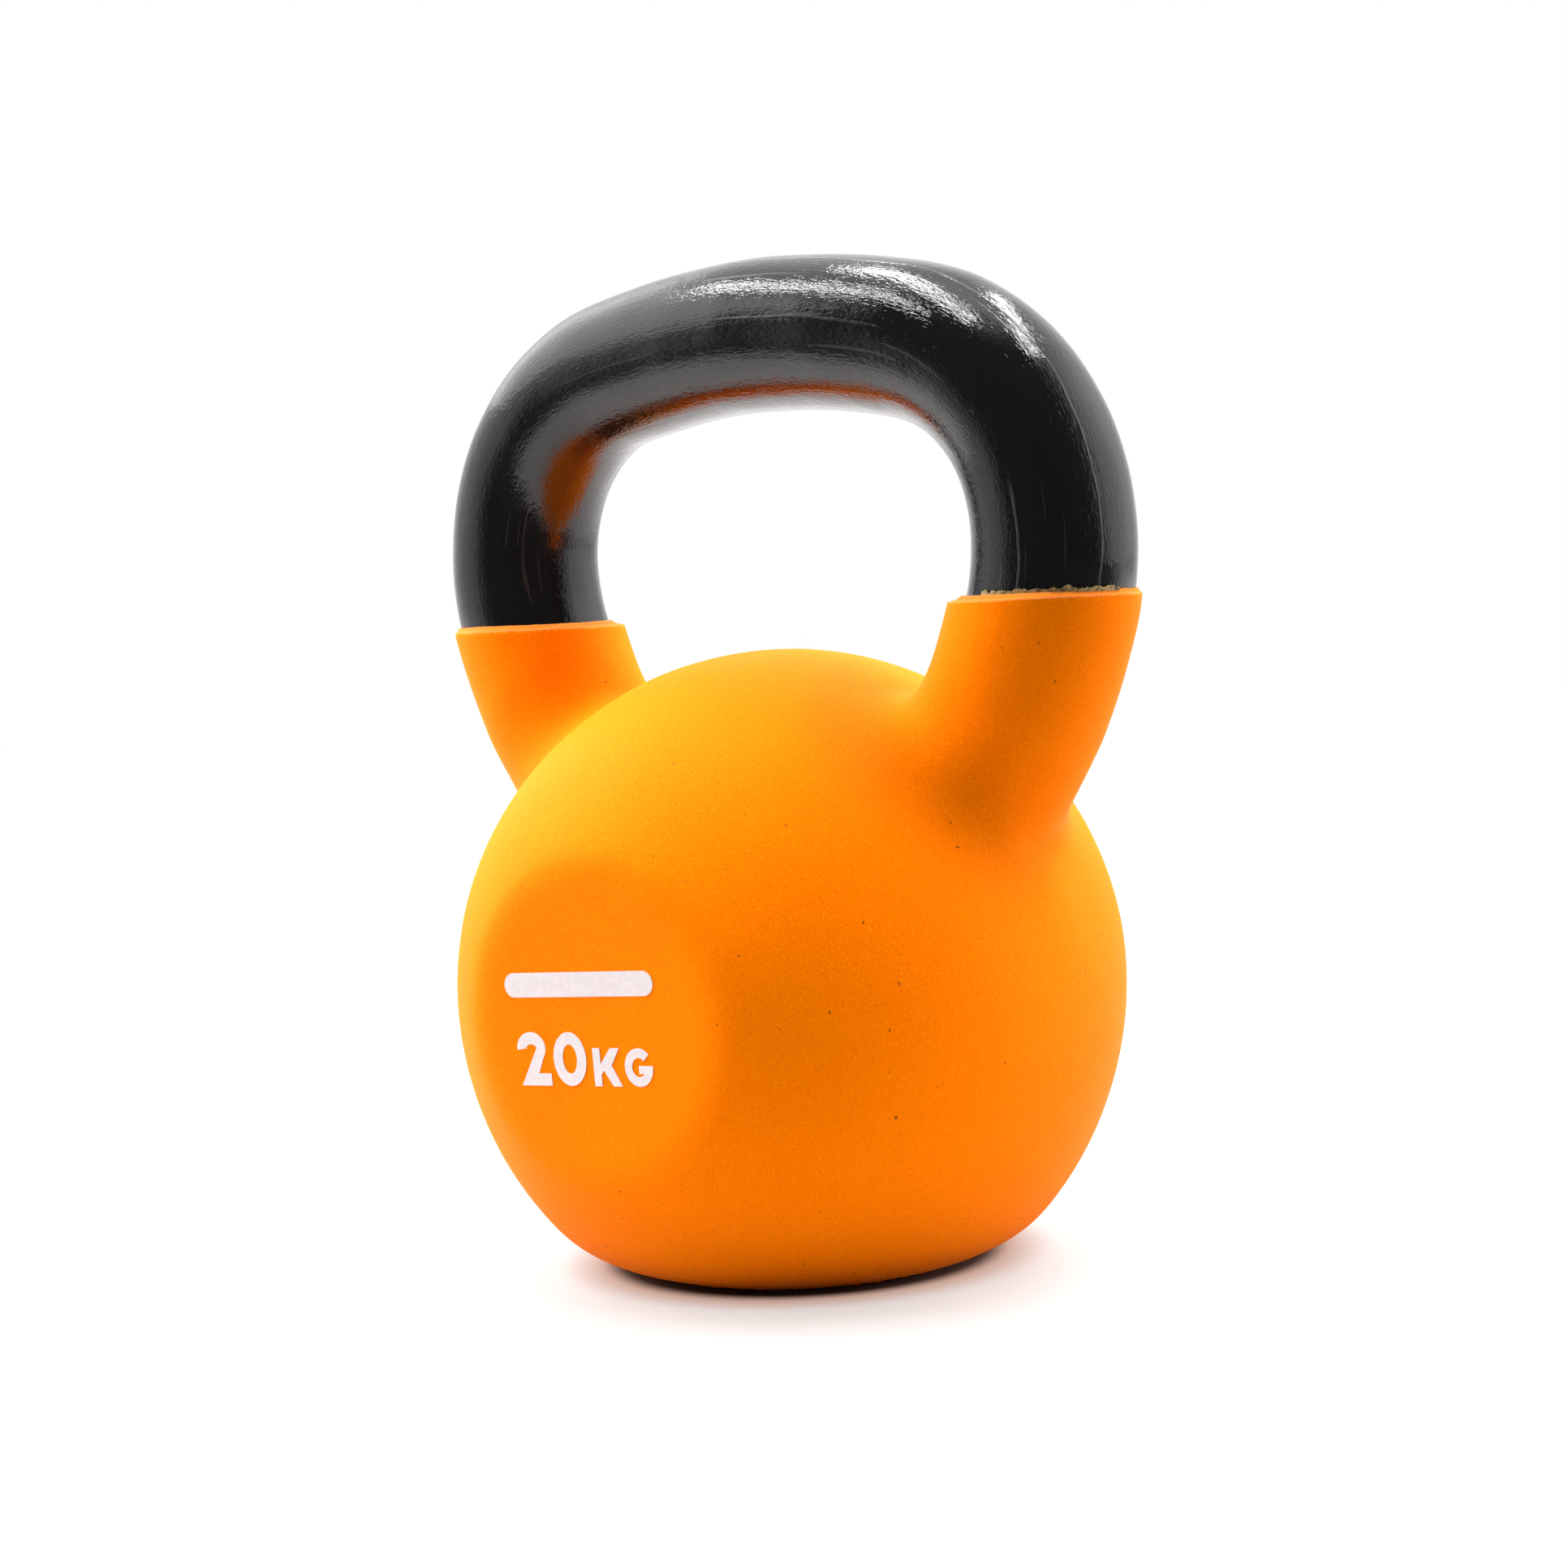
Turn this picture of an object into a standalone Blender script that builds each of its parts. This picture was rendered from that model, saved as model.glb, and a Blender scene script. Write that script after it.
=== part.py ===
"""Kettlebell: a cast-iron core, a dipped rubber jacket, a lacquered handle and a printed front face.

Metres, +Z up. The origin is the centre of the flat base, on the floor. The handle runs along X
and the printed face looks towards -Y.

The core, the jacket and the lacquer are lofts. Each is a closed chain of rings, and every ring
has the same number of points, counted from the side that faces away from the middle plane.
"""

import math

import bmesh
import bpy
import numpy as np

# Ball, measured on the outside of the jacket.
BALL_RADIUS = 0.0865
BALL_CENTRE_HEIGHT = 0.0715
BALL_RISE = 0.0860
BALL_DROP = 0.0893
BASE_ROUND = 0.0095
FACE_DISTANCE = 0.0778
FACE_ROUND = 0.0040

# Handle, measured on the outside of the lacquer. The bar turns from the crown to the rim in three
# arcs, and it leans back in towards the middle before the rim. Depth is along Y, width is across
# the bar in XZ, and level where the bar leans in.
RIM_HEIGHT = 0.1680
CROWN_RADIUS = 0.2120
CROWN_ANGLE = math.radians(13.0)
SHOULDER_RADIUS = 0.0496
SHOULDER_ANGLE = math.radians(55.6)
LEG_RADIUS = 0.0552
LEG_ANGLE = math.radians(36.5)
CROWN_WIDTH = 0.0390
CROWN_DEPTH = 0.0430
FOOT_WIDTH = 0.0412
FOOT_DEPTH = 0.0400
FOOT_SPREAD = 8

# Horns, measured on the outside of the jacket: level sections at the rim and at the root. The top
# of the rim slopes down from the bar to the jacket's outside.
RIM_OVERHANG = 0.0014
RIM_WIDTH = 0.0464
RIM_DEPTH = 0.0444
RIM_SLOPE = 0.0015
ROOT_HEIGHT = 0.1080
ROOT_CENTRE = 0.0510
ROOT_WIDTH = 0.0556
ROOT_DEPTH = 0.0434
ROOT_SUNK = 0.0250
HORN_BOW = 0.0031
HORN_SWELL = 0.0007
FILLET_OUTER = 0.0030
FILLET_INNER = 0.0080
FILLET_FLANK = 0.0180

# Coats.
JACKET_WALL = 0.0030
LACQUER_WALL = 0.0005
LACQUER_LAP = 0.0050
GAP = 0.0003

# Line of primer that shows above the right rim.
PRIMER_HEIGHT = 0.0012
PRIMER_WALL = 0.0004
PRIMER_START = math.radians(-112.0)
PRIMER_END = math.radians(8.0)
PRIMER_STEPS = 18

# Print on the front face: sizes of the marks and the places of their lower left corners.
INK_WALL = 0.0003
PRINT_TILT = math.radians(3.2)
PRINT_LEFT = -0.0246
PRINT_BASELINE = 0.0549
DIGIT_HEIGHT = 0.0131
DIGIT_WIDTH = 0.0106
DIGIT_STROKE = 0.0030
LETTER_HEIGHT = 0.0092
LETTER_WIDTH = 0.0088
LETTER_STROKE = 0.0023
MARK_SPACE = 0.0012
WORD_SPACE = 0.0022
BAR_LENGTH = 0.0480
BAR_HEIGHT = 0.0060
BAR_RISE = 0.0216
ARC_STEPS = 14

# Fineness of the rings.
AROUND = 44
CROWN_RINGS = 3
SHOULDER_RINGS = 6
LEG_RINGS = 4
NECK_STOPS = (0.10, 0.30, 0.55, 0.80, 1.0)
FILLET_STOPS = (0.035, 0.085, 0.150)
OUTER_RINGS = 18
INNER_RINGS = 11
BASE_CROWDING = 0.2
SOLVE_STEPS = 40
SETTLE_STEPS = 8
PROBE = 1e-5

BALL_CENTRE = np.array([0.0, 0.0, BALL_CENTRE_HEIGHT])
TURN = np.linspace(0.0, 2.0 * math.pi, AROUND, endpoint=False)


def clear_scene():
    for obj in list(bpy.data.objects):
        bpy.data.objects.remove(obj, do_unlink=True)


def make_material(name, colour, roughness, metallic=0.0, coat=0.0):
    material = bpy.data.materials.new(name)
    material.use_nodes = True
    shader = material.node_tree.nodes["Principled BSDF"]
    shader.inputs["Base Color"].default_value = (*colour, 1.0)
    shader.inputs["Roughness"].default_value = roughness
    shader.inputs["Metallic"].default_value = metallic
    shader.inputs["Coat Weight"].default_value = coat
    material.diffuse_color = (*colour, 1.0)
    return material


def soft_min(a, b, width):
    """The smaller of two values, rounded where they are closer than width."""
    near = np.maximum(width - np.abs(a - b), 0.0) / width
    return np.minimum(a, b) - near * near * width / 4.0


def mix(a, b, t):
    return a + (b - a) * t


class Skin:
    """One surface of the ball and its right horn, from the rim down to the middle plane.

    inset is how far the ball lies inside the jacket's outer surface. rim and root are level
    sections of the horn, each (centre, half width, half depth). edge is the height of the first
    ring.
    """

    def __init__(self, inset, rim, root, edge=RIM_HEIGHT):
        self.inset = inset
        self.edge = edge
        self.rim = np.array(rim)
        self.root = np.array(root)

    def section(self, height):
        """Centre, half width and half depth of the horn at a height."""
        share = (RIM_HEIGHT - height) / (RIM_HEIGHT - ROOT_HEIGHT)
        centre, width, depth = (mix(a, b, share) for a, b in zip(self.rim, self.root))
        inside = np.clip(share, 0.0, 1.0)
        bow = 4.0 * inside * (1.0 - inside)
        return centre + HORN_BOW * bow, width + HORN_SWELL * bow, depth

    def horn_points(self, height):
        """One point for each turn angle, at the height given for it."""
        centre, width, depth = self.section(height)
        return np.stack(
            [centre + width * np.cos(TURN), depth * np.sin(TURN), height + 0.0 * TURN], axis=1
        )

    def reach(self, direction):
        """Distance from the ball's centre to its surface: two half ellipsoids, base and faces cut."""
        x, y, z = np.moveaxis(direction, -1, 0)
        upright = np.where(z > 0.0, BALL_RISE, BALL_DROP) - self.inset
        plan = BALL_RADIUS - self.inset
        round_reach = 1.0 / np.sqrt((x * x + y * y) / plan**2 + (z / upright) ** 2)
        face_reach = (FACE_DISTANCE - self.inset) / np.maximum(np.abs(y), PROBE)
        base_reach = (BALL_CENTRE_HEIGHT - self.inset) / np.maximum(-z, PROBE)
        cut = soft_min(round_reach, face_reach, FACE_ROUND)
        return soft_min(cut, base_reach, BASE_ROUND)

    def ball_distance(self, points):
        arm = points - BALL_CENTRE
        length = np.linalg.norm(arm, axis=-1)
        return length - self.reach(arm / length[..., None])

    def horn_distance(self, points):
        x, y, z = np.moveaxis(points, -1, 0)
        centre, width, depth = self.section(z)
        side = (np.hypot((x - centre) / width, y / depth) - 1.0) * np.minimum(width, depth)
        return np.maximum(side, ROOT_HEIGHT - ROOT_SUNK - z)

    def distance(self, points):
        """Below zero inside the ball or the horn, with the corner between them filleted."""
        x, y, z = np.moveaxis(points, -1, 0)
        across = x - self.section(z)[0]
        along = across / np.maximum(np.hypot(across, y), PROBE)
        crease = np.where(along > 0.0, FILLET_OUTER, FILLET_INNER)
        fillet = mix(FILLET_FLANK, crease, along**2)
        return soft_min(self.ball_distance(points), self.horn_distance(points), fillet)

    def footprint_heights(self):
        """For each turn angle, the height at which the horn's side meets the ball."""
        low = np.full(AROUND, BALL_CENTRE_HEIGHT)
        high = np.full(AROUND, RIM_HEIGHT)
        for _ in range(SOLVE_STEPS):
            middle = (low + high) / 2.0
            outside = self.ball_distance(self.horn_points(middle)) > 0.0
            high = np.where(outside, middle, high)
            low = np.where(outside, low, middle)
        return (low + high) / 2.0

    def settle(self, points):
        """Moves points the short way onto the filleted surface."""
        for _ in range(SETTLE_STEPS):
            value = self.distance(points)
            slope = np.stack(
                [(self.distance(points + step) - value) / PROBE for step in PROBE * np.eye(3)], axis=1
            )
            points = points - slope * (value / (slope**2).sum(axis=1))[:, None]
        return points

    def rings(self, guide, count):
        """Rings from the rim to the middle plane, along the directions of a guide skin's ball."""
        foot = self.footprint_heights()
        rings = [self.horn_points(np.full(AROUND, self.edge))]
        for stop in NECK_STOPS:
            rings.append(self.settle(self.horn_points(mix(self.edge, foot, stop))))
        for direction in guide.ball_directions(count):
            rings.append(self.settle(BALL_CENTRE + direction * self.reach(direction)[:, None]))
        rings[-1][:, 0] = 0.0
        return rings

    def ball_directions(self, count):
        """Directions from the ball's centre, swept from the horn's footprint to the middle plane."""
        start = self.horn_points(self.footprint_heights()) - BALL_CENTRE
        start /= np.linalg.norm(start, axis=1)[:, None]
        end_turn = TURN - BASE_CROWDING * np.sin(TURN)
        end = np.stack([0.0 * TURN, np.sin(end_turn), -np.cos(end_turn)], axis=1)
        sweep = np.arccos(np.clip((start * end).sum(axis=1), -1.0, 1.0))[:, None]
        for stop in FILLET_STOPS + tuple(np.linspace(FILLET_STOPS[-1], 1.0, count + 1)[1:]):
            spread = np.sin((1.0 - stop) * sweep) * start + np.sin(stop * sweep) * end
            yield spread / np.sin(sweep)


def bar_path():
    """Places and headings of the bar's centreline, from the crown's middle down to the right rim."""
    arcs = (
        (CROWN_RADIUS, CROWN_ANGLE, CROWN_RINGS),
        (SHOULDER_RADIUS, SHOULDER_ANGLE, SHOULDER_RINGS),
        (LEG_RADIUS, LEG_ANGLE, LEG_RINGS),
    )
    places = [(0.0, 0.0)]
    headings = [0.0]
    for radius, angle, steps in arcs:
        x, z = places[-1]
        start = headings[-1]
        for step in range(1, steps + 1):
            heading = start + angle * step / steps
            run = radius * (math.sin(heading) - math.sin(start))
            drop = radius * (math.cos(start) - math.cos(heading))
            places.append((x + run, z - drop))
            headings.append(heading)
    places = np.array(places)
    places[:, 1] += RIM_HEIGHT - places[-1, 1]
    return places, np.array(headings)


def bar_rings(inset):
    """Rings of the bar at an inset from the lacquer's outside, crown first and rim last."""
    places, headings = bar_path()
    steps = np.hypot(*np.diff(places, axis=0).T)
    share = np.concatenate([[0.0], np.cumsum(steps)]) / steps.sum()
    widths = mix(CROWN_WIDTH, FOOT_WIDTH, share**FOOT_SPREAD) / 2.0 - inset
    depths = mix(CROWN_DEPTH, FOOT_DEPTH, share) / 2.0 - inset
    rings = []
    slants = np.minimum(headings, math.pi / 2.0)
    for (x, z), slant, width, depth in zip(places, slants, widths, depths):
        out = width * np.cos(TURN)
        rings.append(
            np.stack(
                [x + out * math.sin(slant), depth * np.sin(TURN), z + out * math.cos(slant)], axis=1
            )
        )
    return rings


def inner_horn(inset, wall):
    """Rim and root of a horn this far inside the lacquer at the rim and the jacket at the root."""
    rim_centre = bar_path()[0][-1, 0]
    rim = (rim_centre, FOOT_WIDTH / 2.0 - inset, FOOT_DEPTH / 2.0 - inset)
    root = (ROOT_CENTRE, ROOT_WIDTH / 2.0 - wall, ROOT_DEPTH / 2.0 - wall)
    return rim, root


def core_skin():
    coats = LACQUER_WALL + GAP
    rim, root = inner_horn(coats, JACKET_WALL + coats + GAP)
    return Skin(JACKET_WALL + GAP, rim, root)


def cavity_skin():
    rim, root = inner_horn(-GAP, JACKET_WALL)
    return Skin(JACKET_WALL, rim, root)


def jacket_skin():
    rim_centre = bar_path()[0][-1, 0] - RIM_OVERHANG
    rim = (rim_centre, RIM_WIDTH / 2.0, RIM_DEPTH / 2.0)
    root = (ROOT_CENTRE, ROOT_WIDTH / 2.0, ROOT_DEPTH / 2.0)
    return Skin(0.0, rim, root, RIM_HEIGHT - RIM_SLOPE)


def mirrored(rings):
    return [ring * (-1.0, 1.0, 1.0) for ring in rings]


def both_sides(rings):
    """Rings of the right half, then those of the left half back to where the right half ended."""
    return rings + mirrored(rings[-2::-1])


def loft(name, rings, material, sharp_angle=40.0):
    """Closed body through a chain of rings whose last one joins its first.

    Two bodies that fit into each other run their chains the same way, so that their facets match.
    """
    mesh = bpy.data.meshes.new(name)
    build = bmesh.new()
    loops = [[build.verts.new(point) for point in ring] for ring in rings]
    for ring, following in zip(loops, loops[1:] + loops[:1]):
        for index in range(len(ring)):
            after = (index + 1) % len(ring)
            build.faces.new((ring[index], ring[after], following[after]))
            build.faces.new((ring[index], following[after], following[index]))
    bmesh.ops.recalc_face_normals(build, faces=build.faces)
    build.to_mesh(mesh)
    build.free()
    mesh.shade_smooth()
    mesh.set_sharp_from_angle(angle=math.radians(sharp_angle))
    mesh.materials.append(material)
    obj = bpy.data.objects.new(name, mesh)
    bpy.context.collection.objects.link(obj)
    return obj


def make_casting():
    """Ball, horns and handle bar in one casting, as a loop of rings through the hand gap."""
    half = bar_rings(LACQUER_WALL + GAP)[:-1] + core_skin().rings(jacket_skin(), INNER_RINGS)
    iron = make_material("cast_iron", (0.060, 0.060, 0.062), 0.55, metallic=0.9)
    return loft("iron_casting", half + mirrored(half[-2:0:-1]), iron)


def make_jacket():
    """Dipped coat over the ball and horns, open at the two rims."""
    outside = both_sides(jacket_skin().rings(jacket_skin(), OUTER_RINGS))
    inside = both_sides(cavity_skin().rings(jacket_skin(), INNER_RINGS))
    rubber = make_material("orange_rubber", (1.0, 0.270, 0.004), 0.62)
    return loft("rubber_jacket", inside + outside[::-1], rubber)


def lapped(rings, horn, depth):
    """Bar rings, crown first, carried on down the horn by the depth of the lap."""
    lap = [horn.horn_points(np.full(AROUND, RIM_HEIGHT - depth * step / 2.0)) for step in (1, 2)]
    return rings + lap


def make_lacquer():
    """Coat over the bar, from under one rim of the jacket to under the other."""
    core = core_skin()
    sheets = []
    for inset in (0.0, LACQUER_WALL):
        spread = LACQUER_WALL + GAP - inset
        horn = Skin(0.0, core.rim + (0.0, spread, spread), core.root + (0.0, spread, spread))
        half = lapped(bar_rings(inset), horn, LACQUER_LAP)
        sheets.append(mirrored(half[:0:-1]) + half)
    outside, inside = sheets
    black = make_material("black_lacquer", (0.006, 0.006, 0.007), 0.18, coat=0.6)
    return loft("handle_lacquer", inside + outside[::-1], black)


def primer_ring(turn, centre):
    """Section of the primer line at one angle round the bar's foot."""
    base = RIM_HEIGHT + GAP
    near = GAP
    far = GAP + PRIMER_WALL
    corners = ((near, 0.0), (far, 0.0), (far, PRIMER_HEIGHT), (near, PRIMER_HEIGHT))
    return [
        (
            centre + (FOOT_WIDTH / 2.0 + out) * math.cos(turn),
            (FOOT_DEPTH / 2.0 + out) * math.sin(turn),
            base + up,
        )
        for out, up in corners
    ]


def make_primer_line():
    """Strip of primer squeezed out above the right rim, on the side that faces forwards."""
    centre = bar_path()[0][-1, 0]
    tan = make_material("primer_tan", (0.420, 0.210, 0.050), 0.55)
    mesh = bpy.data.meshes.new("primer_line_right")
    build = bmesh.new()
    sections = []
    for step in range(PRIMER_STEPS + 1):
        turn = mix(PRIMER_START, PRIMER_END, step / PRIMER_STEPS)
        sections.append([build.verts.new(point) for point in primer_ring(turn, centre)])
    for section, following in zip(sections, sections[1:]):
        for index in range(4):
            after = (index + 1) % 4
            build.faces.new((section[index], section[after], following[after], following[index]))
    build.faces.new(sections[0])
    build.faces.new(sections[-1])
    bmesh.ops.recalc_face_normals(build, faces=build.faces)
    build.to_mesh(mesh)
    build.free()
    mesh.materials.append(tan)
    strip = bpy.data.objects.new("primer_line_right", mesh)
    bpy.context.collection.objects.link(strip)
    return strip


def arc(centre, radii, start, end, steps=ARC_STEPS):
    """Points on an ellipse between two angles in degrees, both ends included."""
    angles = np.radians(np.linspace(start, end, steps + 1))
    return [(centre[0] + radii[0] * math.cos(a), centre[1] + radii[1] * math.sin(a)) for a in angles]


def digit_two(width, height, line):
    """A hook over the top, a slope down to the left and a bar along the bottom."""
    radii = (width * 0.44, height * 0.30)
    bowl = (radii[0], height - radii[1])
    hole = (radii[0] - line, radii[1] - line)
    hook_end = -36.0
    outer = arc(bowl, radii, 186.0, hook_end, 2 * ARC_STEPS)
    foot = [(width * 0.62, line), (width, line), (width, 0.0), (width * 0.06, 0.0)]
    inner = arc(bowl, hole, hook_end, 186.0)
    return [outer + foot + inner]


def digit_zero(width, height, line):
    middle = (width / 2.0, height / 2.0)
    outer = arc(middle, middle, 0.0, 360.0, 2 * ARC_STEPS)[:-1]
    hole = (middle[0] - line, middle[1] - line)
    return [outer, arc(middle, hole, 0.0, 360.0, 2 * ARC_STEPS)[:-1]]


def letter_k(width, height, line):
    """A stem and two arms that leave it at half height."""
    arm = line * 1.25
    waist = line + width * 0.10
    elbow = width * 0.66
    return [
        [
            (0.0, 0.0),
            (line, 0.0),
            (line, height * 0.30),
            (waist, height * 0.42),
            (width - arm, 0.0),
            (width, 0.0),
            (elbow, height * 0.55),
            (width * 0.97, height),
            (width * 0.97 - arm, height),
            (line, height * 0.58),
            (line, height),
            (0.0, height),
        ]
    ]


def letter_g(width, height, line):
    """An open ring with a short bar that turns in at half height."""
    middle = (width / 2.0, height / 2.0)
    hole = (middle[0] - line, middle[1] - line)
    bar_top = height * 0.54
    bar_foot = bar_top - line * 0.85
    mouth = 42.0
    bar_angle = math.degrees(math.asin((bar_foot - middle[1]) / hole[1]))
    outer = arc(middle, middle, mouth, 350.0, 2 * ARC_STEPS)
    bar = [(width, bar_top), (middle[0], bar_top), (middle[0], bar_foot)]
    inner = arc(middle, hole, bar_angle, mouth - 360.0, 2 * ARC_STEPS)
    return [outer + bar + inner]


def plain_bar(width, height):
    """A strip with round ends."""
    end = height / 2.0
    right = arc((width - end, end), (end, end), -90.0, 90.0)
    left = arc((end, end), (end, end), 90.0, 270.0)
    return [right + left]


def print_mark(name, outlines, left, rise, ink):
    """A thin plate of ink in front of the flat face, at a place along the tilted print line."""
    curve = bpy.data.curves.new(name, "CURVE")
    curve.dimensions = "2D"
    curve.fill_mode = "BOTH"
    curve.extrude = INK_WALL / 2.0
    for outline in outlines:
        spline = curve.splines.new("POLY")
        spline.points.add(len(outline) - 1)
        for point, (x, y) in zip(spline.points, outline):
            point.co = (x, y, 0.0, 1.0)
        spline.use_cyclic_u = True
    curve.materials.append(ink)
    mark = bpy.data.objects.new(name, curve)
    bpy.context.collection.objects.link(mark)
    across = left * math.cos(PRINT_TILT) - rise * math.sin(PRINT_TILT)
    up = left * math.sin(PRINT_TILT) + rise * math.cos(PRINT_TILT)
    front = -(FACE_DISTANCE + GAP + INK_WALL / 2.0)
    mark.location = (PRINT_LEFT + across, front, PRINT_BASELINE + up)
    mark.rotation_euler = (math.pi / 2.0, -PRINT_TILT, 0.0)
    return mark


def make_print():
    """The mass in figures with its unit, and a plain bar above it."""
    ink = make_material("white_ink", (0.86, 0.82, 0.86), 0.6)
    digit = (DIGIT_WIDTH, DIGIT_HEIGHT, DIGIT_STROKE)
    letter = (LETTER_WIDTH, LETTER_HEIGHT, LETTER_STROKE)
    marks = (
        ("print_digit_2", digit_two(*digit), DIGIT_WIDTH + MARK_SPACE),
        ("print_digit_0", digit_zero(*digit), DIGIT_WIDTH + WORD_SPACE),
        ("print_letter_k", letter_k(*letter), LETTER_WIDTH + MARK_SPACE),
        ("print_letter_g", letter_g(*letter), LETTER_WIDTH),
    )
    left = 0.0
    for name, outlines, advance in marks:
        print_mark(name, outlines, left, 0.0, ink)
        left += advance
    bar = plain_bar(BAR_LENGTH, BAR_HEIGHT)
    print_mark("print_bar", bar, (left - BAR_LENGTH) / 2.0, BAR_RISE, ink)


clear_scene()
make_casting()
make_jacket()
make_lacquer()
make_primer_line()
make_print()
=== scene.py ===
"""Looks of a rubber-coated kettlebell: jacket, brushed handle lacquer, primer line and front print."""

import math

import bpy
import bmesh
from mathutils import Matrix, Quaternion, Vector
from mathutils.kdtree import KDTree


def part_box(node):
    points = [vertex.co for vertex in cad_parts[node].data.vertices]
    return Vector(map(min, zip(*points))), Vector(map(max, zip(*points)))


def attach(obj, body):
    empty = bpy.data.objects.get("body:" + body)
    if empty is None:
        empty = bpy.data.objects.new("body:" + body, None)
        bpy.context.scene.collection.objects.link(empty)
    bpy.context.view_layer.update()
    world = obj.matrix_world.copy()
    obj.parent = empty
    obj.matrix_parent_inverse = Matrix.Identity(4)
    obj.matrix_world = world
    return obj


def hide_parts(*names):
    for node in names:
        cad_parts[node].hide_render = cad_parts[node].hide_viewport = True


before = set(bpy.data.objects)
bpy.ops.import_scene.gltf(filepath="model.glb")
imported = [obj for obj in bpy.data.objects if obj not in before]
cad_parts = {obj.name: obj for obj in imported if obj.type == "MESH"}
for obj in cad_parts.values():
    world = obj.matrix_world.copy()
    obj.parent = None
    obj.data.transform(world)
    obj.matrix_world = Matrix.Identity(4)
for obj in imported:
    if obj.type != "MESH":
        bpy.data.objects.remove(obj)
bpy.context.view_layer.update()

MM = 0.001
BODY = "root"

# Heights and reaches that the frame gives.
_, jacket_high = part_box("rubber_jacket")
lacquer_low, lacquer_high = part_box("handle_lacquer")
RIM_HEIGHT = jacket_high.z
FACE_DISTANCE = jacket_high.y
HANDLE_TOP = lacquer_high.z
LAP_BOTTOM = lacquer_low.z

# Ball.
BALL_RADIUS = 86.5 * MM
BALL_CENTRE = Vector((0.0, 0.0, 71.5 * MM))
BALL_RISE = 86.0 * MM
BALL_DROP = 89.3 * MM
BASE_BEVEL = 13.5 * MM
BALL_SPARE = 0.3 * MM
BALL_STEPS = 160
CORNER_REACH = BASE_BEVEL * 0.65
CORNER_SEGMENTS = 10
ON_FLOOR = 0.01 * MM
OFF_AXIS = 0.1 * MM

# Horns: level sections at the rim and at the root, as centre, half width and half depth.
RIM_CENTRE = 83.5 * MM
RIM_HALF_WIDTH = 23.2 * MM
RIM_HALF_DEPTH = 22.2 * MM
ROOT_HEIGHT = 108.0 * MM
ROOT_CENTRE = 51.0 * MM
ROOT_HALF_WIDTH = 27.8 * MM
ROOT_HALF_DEPTH = 21.7 * MM
HORN_BOW = 3.1 * MM
HORN_SWELL = 0.7 * MM
HORN_SPARE = 0.5 * MM
HORN_TOP = RIM_HEIGHT + 16.0 * MM
# Where each rim is cut, left (-1) and right (1), and the film drawn up from it: rise, share of the way in.
RIM_EDGES = {-1.0: RIM_HEIGHT - 2.4 * MM, 1.0: RIM_HEIGHT - 0.2 * MM}
RIM_FILM = ((0.4 * MM, 0.60), (1.3 * MM, 1.0))
FILM_CLEARANCE = 0.3 * MM
RIM_CUT_REACH = 9.0 * MM
RIM_WELD = 0.35 * MM
HORN_BOTTOM = 83.0 * MM
HORN_SIDES = 96
HORN_STEPS = 14

# Dipped skin: how the ball and the horns melt together.
SKIN_VOXEL = 1.5 * MM
SKIN_SMOOTHING = 45
FLANK_SMOOTHING = 260
CREASE_REACH = (66.0 * MM, 12.0 * MM)
CREASE_LEVEL = (92.0 * MM, 10.0 * MM)
CREASE_HARDNESS = 0.92
FLANK_BESIDE = (3.0 * MM, 15.0 * MM)
FLANK_REACH = (26.0 * MM, 8.0 * MM)
FLANK_RISE = 16.0 * MM
DIP_WAVES = (26.0 * MM, 0.25 * MM)
RIM_WAVES = (7.0 * MM, 0.7 * MM)
RIM_WAVE_FADE = (7.0 * MM, 3.0 * MM)
BASE_FLATTENED = 0.6 * MM
IRON_CLEARANCE = 0.3 * MM
LACQUER_CLEARANCE = 0.15 * MM
WELD = 0.02 * MM
MIRROR_WELD = 0.01 * MM

# Handle bar: three arcs from the crown's middle down to the rim, as radius, turn and steps.
CROWN_ARC = (212.0 * MM, math.radians(13.0), 10)
SHOULDER_ARC = (49.6 * MM, math.radians(55.6), 22)
LEG_ARC = (55.2 * MM, math.radians(36.5), 16)
LAP_LEAN = 0.36
FOOT_CENTRE = 84.9 * MM
FOOT_LEAN = 0.27
FOOT_SPREAD = 8
CROWN_HALF_WIDTH = 19.5 * MM
CROWN_HALF_DEPTH = 21.5 * MM
FOOT_HALF_WIDTH = 20.6 * MM
FOOT_HALF_DEPTH = 20.0 * MM
BAR_SIDES = 72
CAST_LUMPS = (22.0 * MM, 0.5 * MM)
LACQUER_WALL = 0.5 * MM
BRUSH_PATH_CUTS = 4

# Primer line: an arc round the right leg, in degrees from the leg's outer side, and its ragged top.
PRIMER_ARC = (-112.0, -8.0)
PRIMER_LIFT = 0.9 * MM
PRIMER_HEIGHT = 1.3 * MM
PRIMER_OUT = 0.12 * MM
PRIMER_ASIDE = 0.15 * MM
PRIMER_SIDES = 540
PRIMER_DABS = (1.8 * MM, 1.2 * MM)
PRIMER_CONTRAST = 1.8
PRIMER_MIDDLE = 0.52
PRIMER_WALL = 0.2 * MM

# Print.
INK_PROUD = 0.12 * MM
INK_WALL = 0.3 * MM

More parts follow.
